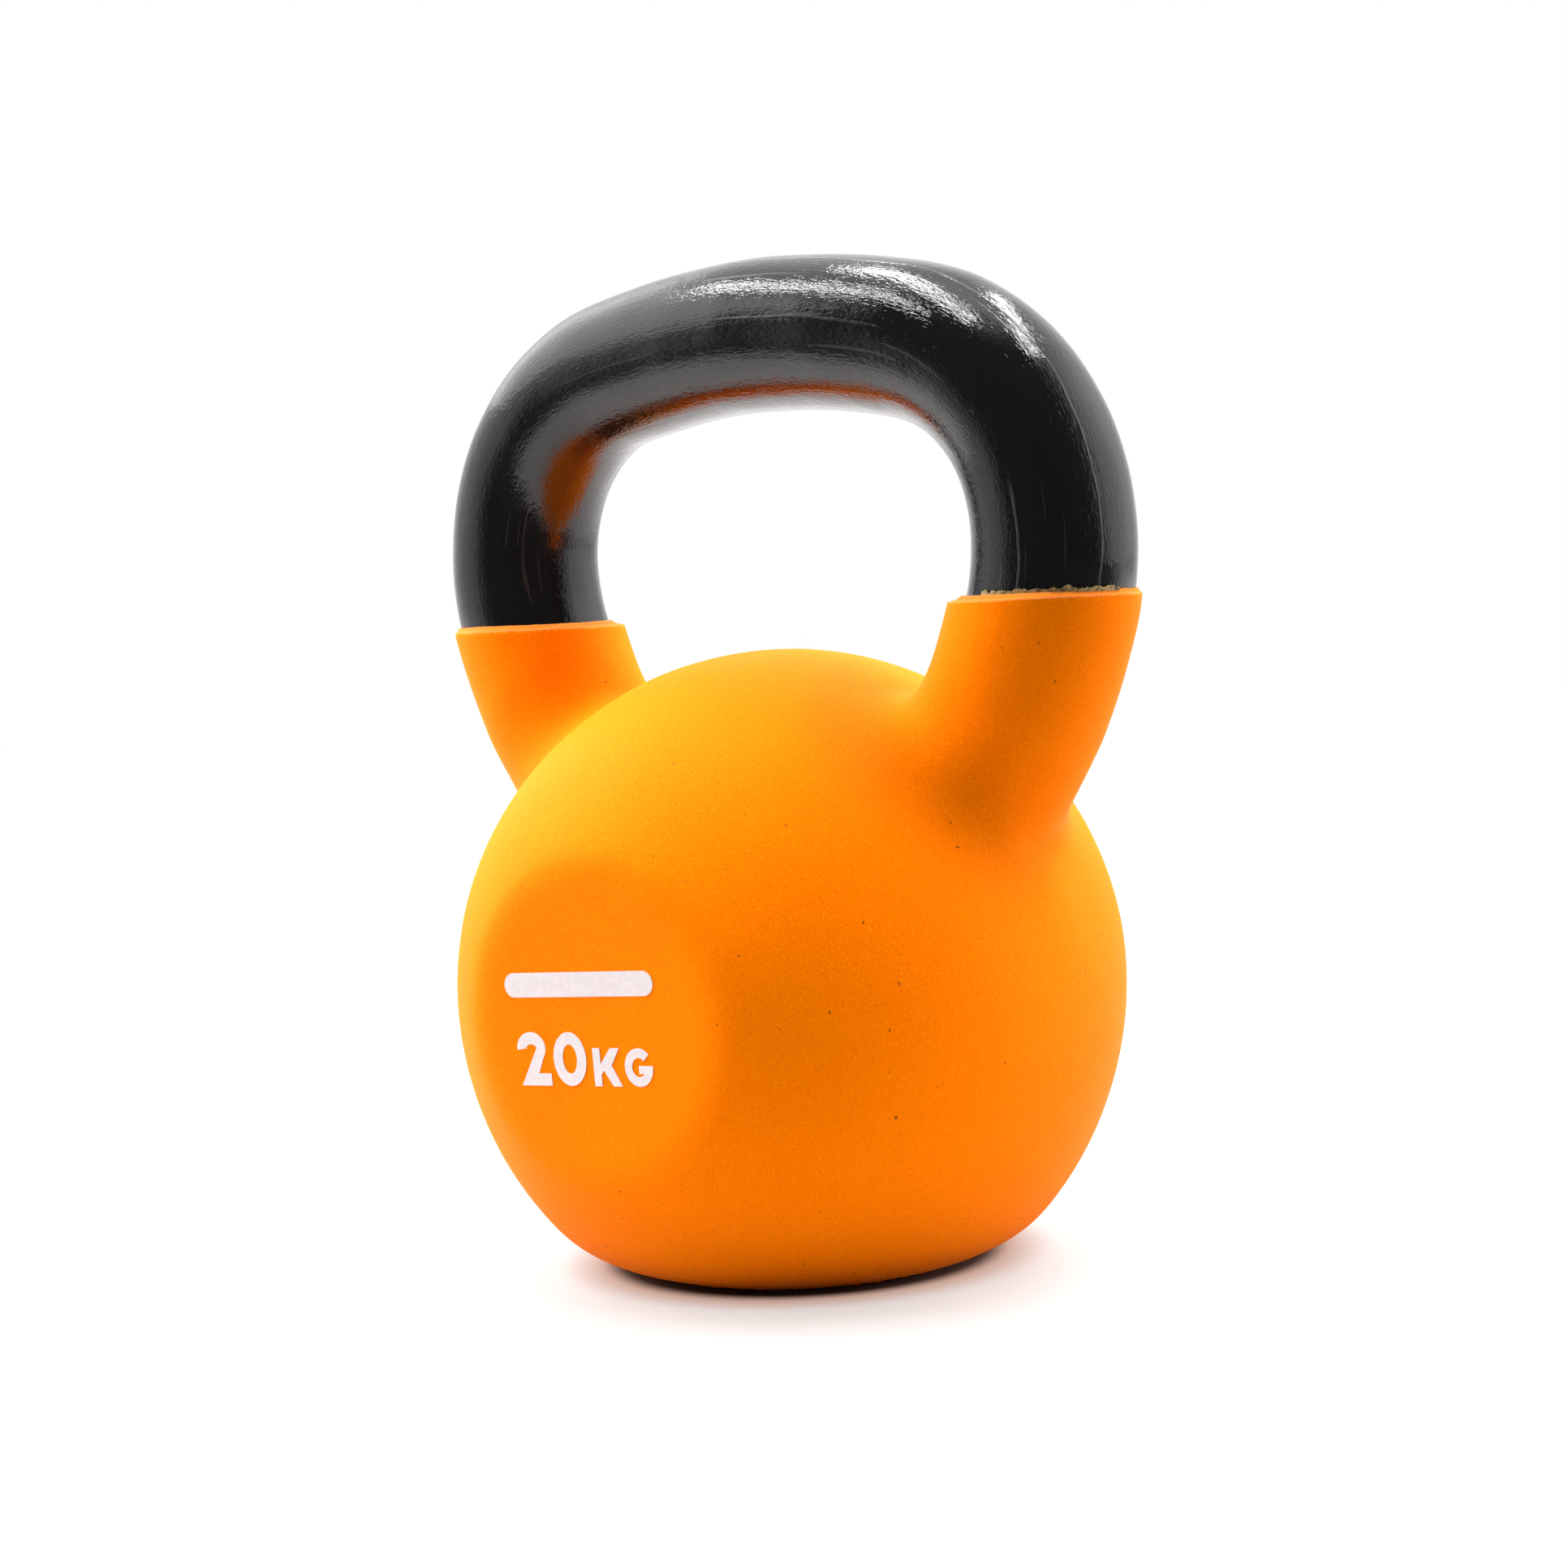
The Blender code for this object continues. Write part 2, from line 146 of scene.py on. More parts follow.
# Colours.
RUBBER_DEEP = (0.92, 0.177, 0.0, 1.0)
RUBBER_PALE = (0.95, 0.191, 0.0, 1.0)
RUBBER_LIT_GRAIN = (1.0, 0.28, 0.0, 1.0)
RUBBER_DARK_GRAIN = (0.74, 0.12, 0.001, 1.0)
RUBBER_SPECK = (0.10, 0.03, 0.01, 1.0)
RUBBER_FILM = (0.50, 0.19, 0.04, 1.0)
RUBBER_LIP = (1.0, 0.50, 0.24, 1.0)
LACQUER_BLACK = (0.004, 0.004, 0.005, 1.0)
LACQUER_SCRATCH = (0.03, 0.03, 0.032, 1.0)
LACQUER_PAINTED_REFLECTION_LINE = (0.10, 0.10, 0.10, 1.0)
INK_THIN = (0.64, 0.57, 0.59, 1.0)
INK_THICK = (0.69, 0.62, 0.63, 1.0)
INK_PINHOLE = (0.95, 0.40, 0.10, 1.0)
PRIMER_DARK = (0.10, 0.07, 0.02, 1.0)
PRIMER_TAN = (0.40, 0.28, 0.10, 1.0)
IRON_DARK = (0.05, 0.05, 0.052, 1.0)
IRON_PALE = (0.12, 0.115, 0.11, 1.0)
FLOOR_PALE = (0.43, 0.42, 0.415, 1.0)
FLOOR_DARK = (0.03, 0.03, 0.03, 1.0)
FLOOR_SHOWN = (0.14, 0.137, 0.135, 1.0)
BLACK = (0.0, 0.0, 0.0, 1.0)

# Painted contact shadow and self-lit white of the floor as the camera sees it, warm with painted bounce
# light near the base: each colour takes over between two distances from the middle.
FLOOR_PAINTED_SHADOW_AND_GLOW = (
    (0.0475, 0.0545, (0.50, 0.32, 0.25, 1.0)),
    (0.0510, 0.0660, (0.67, 0.63, 0.61, 1.0)),
    (0.0580, 0.1100, (0.72, 0.715, 0.71, 1.0)),
)

# Height of the relief that each pattern gives.
RUBBER_GRAIN_RELIEF = 0.00014
RUBBER_FINE_RELIEF = 0.00004
STREAK_RELIEF = 0.00010
BROAD_STREAK_RELIEF = 0.00007
PEEL_RELIEF = 0.00009
PIT_RELIEF = 0.00003
RIDGE_RELIEF = 0.00006
INK_RELIEF = 0.00003
PRIMER_RELIEF = 0.0001
IRON_RELIEF = 0.0002
FLOOR_RELIEF = 0.00002

# Raised brush lines on the right leg, also coloured grey as painted reflection lines: turns round the bar,
# and their edges either side.
RIDGE_AND_REFLECTION_TURNS = (-1.43, -0.43)
RIDGE_AND_REFLECTION_EDGES = (0.022, 0.006)

# Camera and light.
CAMERA_AZIMUTH = math.radians(38.22)
CAMERA_ELEVATION = math.radians(3.65)
CAMERA_ROLL = math.radians(-2.8)
CAMERA_DISTANCE = 746.5 * MM
CAMERA_AIM_HEIGHT = 122.67 * MM
CAMERA_ASIDE = 0.43 * MM
CAMERA_LENS = 66.07
SENSOR_WIDTH = 36.0
FLOOR_SIZE = 4.2
FLOOR_MIDDLE = (-0.9, 1.1, 0.0)
ROOM_FRONT = 35.0
FLOOR_FRONT = 38.0
STRIP_AZIMUTH = 48.0
STRIP_RISE = 1.3
STRIP_SETBACK = 0.18
STRIP_OFFSETS = (-0.83, -0.12, 0.74)
STRIP_LENGTH = 1.25
STRIP_WIDTH = 0.15
STRIP_POWER = 16.0
LEFT_LIGHT = (-78.0, 38.0)
LEFT_SIZES = (1.9, 0.72)
SOFTBOX_DISTANCE, SOFTBOX_POWER = 1.4, 6.5
LEFT_FILL_DISTANCE, LEFT_FILL_POWER = 1.45, 31.0
FILL_DISTANCE = 1.7
FILL_SIZES = (1.6, 1.2)
FILLS = {"top_fill": (160.0, 66.0, 39.0), "right_fill": (112.0, 25.0, 6.0)}


# ---------------------------------------------------------------- shaping by hand


def only(*pieces):
    """Selects these pieces and nothing else, the last one active."""
    if bpy.context.mode != "OBJECT":
        bpy.ops.object.mode_set(mode="OBJECT")
    bpy.ops.object.select_all(action="DESELECT")
    for piece in pieces:
        piece.select_set(True)
    bpy.context.view_layer.objects.active = pieces[-1]


def started(name):
    """Names the primitive that was just added, and puts its place into its mesh."""
    piece = bpy.context.object
    piece.name = name
    piece.data.name = name
    only(piece)
    bpy.ops.object.transform_apply(location=True, rotation=True, scale=True)
    return piece


def edit(piece):
    only(piece)
    bpy.ops.object.mode_set(mode="EDIT")


def finish_edit():
    bpy.ops.object.mode_set(mode="OBJECT")


def pick(piece, mode, rule):
    """In edit mode, selects the vertices, edges or faces that a rule names, and nothing else."""
    bpy.ops.mesh.select_mode(type=mode)
    bpy.ops.mesh.select_all(action="DESELECT")
    build = bmesh.from_edit_mesh(piece.data)
    parts = {"VERT": build.verts, "EDGE": build.edges, "FACE": build.faces}[mode]
    for part in parts:
        if rule(part):
            part.select_set(True)
    build.select_flush_mode()
    bmesh.update_edit_mesh(piece.data)


def modify(piece, kind, **settings):
    """Adds one modifier and applies it."""
    only(piece)
    modifier = piece.modifiers.new(kind.title(), kind)
    for setting, value in settings.items():
        setattr(modifier, setting, value)
    bpy.ops.object.modifier_apply(modifier=modifier.name)


def close_up(piece):
    """Merges doubles and turns the faces outwards."""
    edit(piece)
    bpy.ops.mesh.select_all(action="SELECT")
    bpy.ops.mesh.remove_doubles(threshold=WELD)
    bpy.ops.mesh.normals_make_consistent(inside=False)
    finish_edit()


def clouds(name, size):
    texture = bpy.data.textures.new(name, "CLOUDS")
    texture.noise_scale = size
    texture.noise_depth = 1
    return texture


def weigh(piece, name, weight_at):
    """Vertex group whose weight a rule gives from the vertex's place."""
    group = piece.vertex_groups.new(name=name)
    for vertex in piece.data.vertices:
        group.add([vertex.index], weight_at(vertex.co), "REPLACE")
    return group


def smooth_shade(piece, angle=35.0):
    only(piece)
    bpy.ops.object.shade_smooth_by_angle(angle=math.radians(angle))


# ---------------------------------------------------------------- jacket


def horn_section(height):
    """Centre, half width and half depth of the right horn at a height."""
    share = (RIM_HEIGHT - height) / (RIM_HEIGHT - ROOT_HEIGHT)
    bow = 4.0 * max(share, 0.0) * max(1.0 - share, 0.0)
    centre = RIM_CENTRE + (ROOT_CENTRE - RIM_CENTRE) * max(share, 0.0) + HORN_BOW * bow
    width = RIM_HALF_WIDTH + (ROOT_HALF_WIDTH - RIM_HALF_WIDTH) * share + HORN_SWELL * bow
    depth = RIM_HALF_DEPTH + (ROOT_HALF_DEPTH - RIM_HALF_DEPTH) * share
    return centre, width + HORN_SPARE, depth + HORN_SPARE


def make_ball():
    """Turned from a half profile: an arc, the flat base and a rounded corner between them."""
    bpy.ops.mesh.primitive_circle_add(
        vertices=BALL_STEPS,
        radius=BALL_RADIUS + BALL_SPARE,
        location=BALL_CENTRE,
        rotation=(math.pi / 2.0, 0.0, 0.0),
    )
    ball = started("jacket_ball")
    edit(ball)
    for rise, rule in (
        (BALL_RISE, lambda v: v.co.z > BALL_CENTRE.z + 1e-6),
        (BALL_DROP, lambda v: v.co.z < BALL_CENTRE.z - 1e-6),
    ):
        pick(ball, "VERT", rule)
        bpy.ops.transform.resize(value=(1.0, 1.0, rise / BALL_RADIUS), center_override=BALL_CENTRE)
    for normal in ((1.0, 0.0, 0.0), (0.0, 0.0, 1.0)):
        bpy.ops.mesh.select_all(action="SELECT")
        bpy.ops.mesh.bisect(plane_co=(0.0, 0.0, 0.0), plane_no=normal, clear_inner=True)
    pick(ball, "VERT", lambda v: ON_FLOOR < v.co.z < CORNER_REACH)
    bpy.ops.mesh.dissolve_verts()
    pick(ball, "VERT", lambda v: v.co.z < ON_FLOOR)
    corner = max(v.co.x for v in bmesh.from_edit_mesh(ball.data).verts if v.select)
    bpy.ops.mesh.extrude_region_move(TRANSFORM_OT_translate={"value": (-corner, 0.0, 0.0)})
    pick(ball, "VERT", lambda v: v.co.z < ON_FLOOR and v.co.x > OFF_AXIS)
    bpy.ops.mesh.bevel(offset=BASE_BEVEL, segments=CORNER_SEGMENTS, affect="VERTICES")
    bpy.ops.mesh.select_all(action="SELECT")
    bpy.ops.mesh.spin(
        steps=BALL_STEPS, angle=2.0 * math.pi, center=(0.0, 0.0, 0.0), axis=(0.0, 0.0, 1.0)
    )
    finish_edit()
    close_up(ball)
    edit(ball)
    for side in (-1.0, 1.0):
        bpy.ops.mesh.select_all(action="SELECT")
        bpy.ops.mesh.bisect(
            plane_co=(0.0, side * FACE_DISTANCE, 0.0),
            plane_no=(0.0, side, 0.0),
            clear_outer=True,
            use_fill=True,
        )
    finish_edit()
    return ball


def make_horn():
    """Right horn, drawn down from above the rim into the ball, one level section at a time."""
    centre, width, depth = horn_section(HORN_TOP)
    drop = (HORN_BOTTOM - HORN_TOP) / HORN_STEPS
    bpy.ops.mesh.primitive_circle_add(
        vertices=HORN_SIDES, radius=1.0, location=(centre, 0.0, HORN_TOP), fill_type="NGON"
    )
    bpy.context.object.scale = (width, depth, 1.0)
    horn = started("jacket_horn")
    edit(horn)
    bpy.ops.mesh.select_all(action="SELECT")
    for step in range(1, HORN_STEPS + 1):
        height = HORN_TOP + (HORN_BOTTOM - HORN_TOP) * step / HORN_STEPS
        next_centre, next_width, next_depth = horn_section(height)
        bpy.ops.mesh.extrude_region_move(
            TRANSFORM_OT_translate={"value": (next_centre - centre, 0.0, drop)}
        )
        bpy.ops.transform.resize(
            value=(next_width / width, next_depth / depth, 1.0),
            center_override=(next_centre, 0.0, height),
        )
        centre, width, depth = next_centre, next_width, next_depth
    finish_edit()
    close_up(horn)
    return horn


def crease_softness(place):
    """Full smoothing everywhere, except where a horn leaves the ball on its outer side."""
    outward = min(max((abs(place.x) - CREASE_REACH[0]) / CREASE_REACH[1], 0.0), 1.0)
    level = min(max((place.z - CREASE_LEVEL[0]) / CREASE_LEVEL[1], 0.0), 1.0)
    return 1.0 - CREASE_HARDNESS * outward * level


def ramp(value, start, end):
    """0 at start, 1 at end, and smooth in between."""
    share = min(max((value - start) / (end - start), 0.0), 1.0)
    return share * share * (3.0 - 2.0 * share)


def flank_softness(place):
    """Where the front and the back of a horn are faired into the ball."""
    centre, width, depth = horn_section(place.z)
    x, y = (abs(place.x) - centre) / width, place.y / depth
    from_horn = (math.hypot(x, y) - 1.0) * min(width, depth)
    from_ball = (place - BALL_CENTRE).length - BALL_RADIUS
    beside = ramp(abs(place.y), *FLANK_BESIDE)
    return (
        beside
        * ramp(from_horn, *FLANK_REACH)
        * ramp(from_ball, *FLANK_REACH)
        * ramp(place.z, BALL_CENTRE.z, BALL_CENTRE.z + FLANK_RISE)
    )


def wave(piece, name, sizes, **settings):
    """Pushes the surface in and out in soft clouds, as wide as the first size and as high as the second."""
    width, strength = sizes
    texture = clouds(name, width)
    modify(piece, "DISPLACE", texture=texture, strength=strength, texture_coords="LOCAL", **settings)


def on_horn_top(side, edge):
    """Rule for the faces of one horn that its rim's cut goes through."""

    def rule(face):
        middle = face.calc_center_median()
        return middle.x * side > 0.0 and middle.z > edge - RIM_CUT_REACH

    return rule


def on_cut(side, edge):
    """Rule for the level face that the cut left on one horn."""

    def rule(face):
        middle = face.calc_center_median()
        return face.normal.z > 0.99 and middle.z > edge - 0.1 * MM and middle.x * side > 0.0

    return rule


def make_jacket():
    """Ball and two horns melted into one dipped skin, then hollowed for the iron and the lacquer."""
    ball = make_ball()
    horn = make_horn()
    modify(horn, "MIRROR", use_axis=(True, False, False), merge_threshold=MIRROR_WELD)
    modify(ball, "BOOLEAN", operation="UNION", object=horn, solver="EXACT")
    bpy.data.objects.remove(horn)
    jacket = ball
    jacket.name = "dipped_jacket"
    modify(jacket, "REMESH", mode="VOXEL", voxel_size=SKIN_VOXEL)
    weigh(jacket, "softness", crease_softness)
    modify(jacket, "SMOOTH", factor=0.5, iterations=SKIN_SMOOTHING, vertex_group="softness")
    weigh(jacket, "flanks", flank_softness)
    modify(jacket, "SMOOTH", factor=0.5, iterations=FLANK_SMOOTHING, vertex_group="flanks")
    wave(jacket, "dip_waves", DIP_WAVES)
    edit(jacket)
    pick(jacket, "VERT", lambda v: v.co.z < BASE_FLATTENED)
    bpy.ops.transform.resize(value=(1.0, 1.0, 0.0), center_override=(0.0, 0.0, 0.0))
    for side, edge in RIM_EDGES.items():
        pick(jacket, "FACE", on_horn_top(side, edge))
        bpy.ops.mesh.bisect(
            plane_co=(0.0, 0.0, edge), plane_no=(0.0, 0.0, 1.0), clear_outer=True, use_fill=True
        )
    finish_edit()
    thin_rims(jacket)
    hollow(jacket)
    smooth_shade(jacket)
    return jacket


def thin_rims(jacket):
    """Draws a thinning film of rubber up from each cut rim to the bar, and waves the rim a little."""
    edit(jacket)
    bpy.ops.mesh.select_all(action="SELECT")
    bpy.ops.mesh.remove_doubles(threshold=RIM_WELD)
    for side, edge in RIM_EDGES.items():
        pick(jacket, "FACE", on_cut(side, edge))
        risen, drawn = 0.0, 0.0
        for rise, share in RIM_FILM:
            shift = (FOOT_CENTRE - RIM_CENTRE) * (share - drawn)
            step = Vector((side * shift, 0.0, rise - risen))
            bpy.ops.mesh.extrude_region_move(TRANSFORM_OT_translate={"value": step})
            narrow = []
            for rim, bar in ((RIM_HALF_WIDTH, FOOT_HALF_WIDTH), (RIM_HALF_DEPTH, FOOT_HALF_DEPTH)):
                inwards = bar + FILM_CLEARANCE - rim
                narrow.append((rim + inwards * share) / (rim + inwards * drawn))
            middle = (side * (RIM_CENTRE + (FOOT_CENTRE - RIM_CENTRE) * share), 0.0, edge + rise)
            bpy.ops.transform.resize(value=(*narrow, 1.0), center_override=middle)
            risen, drawn = rise, share
    finish_edit()
    start, end = (RIM_HEIGHT - drop for drop in RIM_WAVE_FADE)
    weigh(jacket, "rims", lambda place: ramp(place.z, start, end))
    wave(jacket, "dip_edge", RIM_WAVES, direction="Z", vertex_group="rims")


def merged_copy(node):
    """A CAD node's mesh as one closed surface, in a new object."""
    only(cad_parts[node])
    bpy.ops.object.duplicate()
    copy = bpy.context.object
    for key in list(copy.keys()):
        del copy[key]
    copy.parent = None
    copy.name = node + "_form"
    copy.data.materials.clear()
    close_up(copy)
    return copy


def hollow(jacket):
    """Takes the iron and the lacquer out of the rubber, with the clearance that the frame has."""
    for node, clearance in (("iron_casting", IRON_CLEARANCE), ("handle_lacquer", LACQUER_CLEARANCE)):
        form = merged_copy(node)
        modify(form, "DISPLACE", strength=clearance, mid_level=0.0)
        modify(jacket, "BOOLEAN", operation="DIFFERENCE", object=form, solver="EXACT")
        bpy.data.objects.remove(form)


# ---------------------------------------------------------------- handle


def make_handle_skin():
    """Lacquer over the bar, drawn ring by ring from the crown's middle down under the rim."""
    crown_centre = HANDLE_TOP - CROWN_HALF_WIDTH
    bpy.ops.mesh.primitive_circle_add(
        vertices=BAR_SIDES,
        radius=1.0,
        location=(0.0, 0.0, crown_centre),
        rotation=(0.0, math.pi / 2.0, 0.0),
    )
    bpy.context.object.scale = (CROWN_HALF_WIDTH, CROWN_HALF_DEPTH, 1.0)
    skin = started("lacquer_skin")
    edit(skin)
    bpy.ops.mesh.select_all(action="SELECT")
    arcs = (CROWN_ARC, SHOULDER_ARC, LEG_ARC)
    length = sum(radius * angle for radius, angle, _ in arcs)
    place = Vector((0.0, 0.0, crown_centre))
    heading = 0.0
    travelled = 0.0
    width, depth = CROWN_HALF_WIDTH, CROWN_HALF_DEPTH
    path = [place.copy()]
    for radius, angle, steps in arcs:
        pivot = place - radius * Vector((math.sin(heading), 0.0, math.cos(heading)))
        for _ in range(steps):
            turn = angle / steps
            heading += turn
            travelled += radius * turn
            last = place
            place = pivot + radius * Vector((math.sin(heading), 0.0, math.cos(heading)))
            share = travelled / length
            spread = share**FOOT_SPREAD
            next_width = CROWN_HALF_WIDTH + (FOOT_HALF_WIDTH - CROWN_HALF_WIDTH) * spread
            next_depth = CROWN_HALF_DEPTH + (FOOT_HALF_DEPTH - CROWN_HALF_DEPTH) * share
            tilt = min(heading, math.pi / 2.0) - min(heading - turn, math.pi / 2.0)
            bpy.ops.mesh.extrude_edges_move(TRANSFORM_OT_translate={"value": place - last})
            if tilt > 0.0:
                bpy.ops.transform.rotate(
                    value=-tilt, orient_axis="Y", orient_type="GLOBAL", center_override=place
                )
            bpy.ops.transform.resize(
                value=(next_width / width, next_depth / depth, next_width / width),
                center_override=place,
            )
            width, depth = next_width, next_depth
            path.append(place.copy())
    for _ in range(2):
        drop = (LAP_BOTTOM - RIM_HEIGHT) / 2.0
        step = Vector((LAP_LEAN * drop, 0.0, drop))
        bpy.ops.mesh.extrude_edges_move(TRANSFORM_OT_translate={"value": step})
        path.append(path[-1] + step)
    finish_edit()
    modify(skin, "MIRROR", use_axis=(True, False, False), merge_threshold=MIRROR_WELD)
    close_up(skin)
    modify(skin, "SUBSURF", levels=1, render_levels=1)
    wave(skin, "cast_lumps", CAST_LUMPS)
    modify(skin, "SOLIDIFY", thickness=LACQUER_WALL, offset=-1.0)
    mark_brush_way(skin, path)
    smooth_shade(skin, 60.0)
    return skin


def mark_brush_way(skin, path):
    """Stores each point's place along and round the bar, for streaks that follow the brush."""
    both = [Vector((-p.x, p.y, p.z)) for p in reversed(path[1:])] + path
    fine = []
    for start, end in zip(both, both[1:]):
        fine.extend(start.lerp(end, cut / BRUSH_PATH_CUTS) for cut in range(BRUSH_PATH_CUTS))
    fine.append(both[-1])
    lengths = [0.0]
    for start, end in zip(fine, fine[1:]):
        lengths.append(lengths[-1] + (end - start).length)
    tree = KDTree(len(fine))
    for index, point in enumerate(fine):
        tree.insert(point, index)
    tree.balance()
    values = []
    for vertex in skin.data.vertices:
        spot, index, _ = tree.find(vertex.co)
        ahead = fine[min(index + 1, len(fine) - 1)] - fine[max(index - 1, 0)]
        ahead.normalize()
        arm = vertex.co - spot
        values.append(lengths[index] + arm.dot(ahead))
        out = Vector((-ahead.z, 0.0, ahead.x))
        values.append(arm.dot(out))
        values.append(arm.y)
    attribute = skin.data.attributes.new("brush_way", "FLOAT_VECTOR", "POINT")
    attribute.data.foreach_set("vector", values)


# ---------------------------------------------------------------- primer line


def make_primer_line():
    """Ragged dabs of primer above the right rim, on the side that faces forwards."""
    middle_height = RIM_EDGES[1.0] + PRIMER_LIFT + PRIMER_HEIGHT / 2.0
    bpy.ops.mesh.primitive_cylinder_add(
        vertices=PRIMER_SIDES,
        radius=1.0,
        depth=PRIMER_HEIGHT,
        end_fill_type="NOTHING",
        location=(FOOT_CENTRE + PRIMER_ASIDE, 0.0, middle_height),
    )
    bpy.context.object.scale = (FOOT_HALF_WIDTH + PRIMER_OUT, FOOT_HALF_DEPTH + PRIMER_OUT, 1.0)
    line = started("primer_edge")
    edit(line)

    def out_of_line(face):
        middle = face.calc_center_median()
        turn = math.degrees(math.atan2(middle.y, middle.x - FOOT_CENTRE))
        return not PRIMER_ARC[0] < turn < PRIMER_ARC[1]

    pick(line, "FACE", out_of_line)
    bpy.ops.mesh.delete(type="FACE")
    pick(line, "VERT", lambda v: v.co.z > middle_height)
    bpy.ops.transform.translate(value=(FOOT_LEAN * PRIMER_HEIGHT, 0.0, 0.0))
    finish_edit()
    weigh(line, "tops", lambda place: 1.0 if place.z > middle_height else 0.0)
    dabs = clouds("primer_dabs", PRIMER_DABS[0])
    dabs.contrast = PRIMER_CONTRAST
    modify(
        line,
        "DISPLACE",
        texture=dabs,
        strength=PRIMER_DABS[1],
        mid_level=PRIMER_MIDDLE,
        direction="Z",
        vertex_group="tops",
        texture_coords="LOCAL",
    )
    modify(line, "SOLIDIFY", thickness=PRIMER_WALL, offset=1.0)
    close_up(line)
    return line


# ---------------------------------------------------------------- print


def make_print(node):
    """A mark of the front print, as a thin coat of ink laid just proud of the face."""
    mark = merged_copy(node)
    mark.name = node.replace("print", "ink")
    edit(mark)
    pick(mark, "FACE", lambda f: f.normal.y > -0.9)
    bpy.ops.mesh.delete(type="FACE")
    bpy.ops.mesh.select_mode(type="EDGE")
    bpy.ops.mesh.select_all(action="SELECT")
    bpy.ops.mesh.subdivide(number_cuts=3)
    bpy.ops.mesh.quads_convert_to_tris()
    finish_edit()
    for vertex in mark.data.vertices:
        vertex.co.y = -FACE_DISTANCE - INK_PROUD
    modify(mark, "SOLIDIFY", thickness=INK_WALL, offset=-1.0)
    close_up(mark)
    return mark


# ---------------------------------------------------------------- finishes


class Number:
    """A number that a socket gives. Arithmetic on it adds Math nodes."""

    def __init__(self, finish, socket):
        self.finish = finish
        self.socket = socket

    def work(self, operation, *others):
        return self.finish.maths(operation, self, *others)

    def __add__(self, other):
        return self.work("ADD", other)

    def __sub__(self, other):
        return self.work("SUBTRACT", other)

    def __rsub__(self, other):
        return self.finish.maths("SUBTRACT", other, self)

    def __mul__(self, other):
        return self.work("MULTIPLY", other)

    def __truediv__(self, other):
        return self.work("DIVIDE", other)

    def __gt__(self, other):
        return self.work("GREATER_THAN", other)

    def __pow__(self, other):
        return self.work("POWER", other)

    __radd__ = __add__
    __rmul__ = __mul__


class Finish:
    """A material, or the world, and the nodes that make it up."""

    def __init__(self, tree):
        self.tree = tree

    def node(self, kind, settings=None, inputs=None):
        node = self.tree.nodes.new(kind)
        for setting, value in (settings or {}).items():
            setattr(node, setting, value)
        for name, value in (inputs or {}).items():
            self.feed(node.inputs[name], value)
        return node

    def feed(self, socket, value):
        if isinstance(value, Number):
            value = value.socket
        if isinstance(value, bpy.types.NodeSocket):
            self.tree.links.new(value, socket)
        else:
            socket.default_value = value

    def number(self, kind, settings, inputs, output=0):
        return Number(self, self.node(kind, settings, inputs).outputs[output])

    def maths(self, operation, *values):
        """One Math node on these values."""
        return self.number("ShaderNodeMath", {"operation": operation}, dict(enumerate(values)))

    def vector_maths(self, operation, *values):
        """The number that one Vector Math node gives."""
        settings = {"operation": operation}
        return self.number("ShaderNodeVectorMath", settings, dict(enumerate(values)), "Value")

    def axes(self, place):
        """X, Y and Z of a place, as numbers."""
        node = self.node("ShaderNodeSeparateXYZ", {}, {0: place})
        return [Number(self, socket) for socket in node.outputs]

    def noise(self, place, scale, detail=2.0, roughness=0.5):
        inputs = {"Vector": place, "Scale": scale, "Detail": detail, "Roughness": roughness}
        return self.number("ShaderNodeTexNoise", {}, inputs)

    def step(self, value, low, high):
        """0 below low, 1 above high, and smooth in between."""
        settings = {"interpolation_type": "SMOOTHSTEP"}
        inputs = {"Value": value, "From Min": low, "From Max": high}
        return self.number("ShaderNodeMapRange", settings, inputs)

    def blend(self, share, first, second):
        """A colour between two others."""
        node = self.node("ShaderNodeMix", {"data_type": "RGBA"}, {0: share, 6: first, 7: second})
        return node.outputs[2]

    def streaks(self, place, scales, detail, roughness=0.5):
        """Noise with its own scale along, out from and across the bar."""
        mapped = self.node("ShaderNodeMapping", {}, {"Vector": place, "Scale": scales}).outputs[0]
        return self.noise(mapped, 1.0, detail, roughness)


def new_finish(name):
    material = bpy.data.materials.new(name)
    material.use_nodes = True
    finish = Finish(material.node_tree)
    finish.material = material
    finish.shader = material.node_tree.nodes["Principled BSDF"]
    finish.place = finish.node("ShaderNodeTexCoord").outputs["Object"]
    return finish


def coat(finish, height=None, **inputs):
    """Feeds the shader. height is in metres."""
    for name, value in inputs.items():
        finish.feed(finish.shader.inputs[name.replace("_", " ")], value)
    if height is not None:
        relief = {"Height": height, "Distance": 1.0, "Strength": 1.0}
        bump = finish.node("ShaderNodeBump", {}, relief)
        finish.feed(finish.shader.inputs["Normal"], bump.outputs[0])
    return finish.material


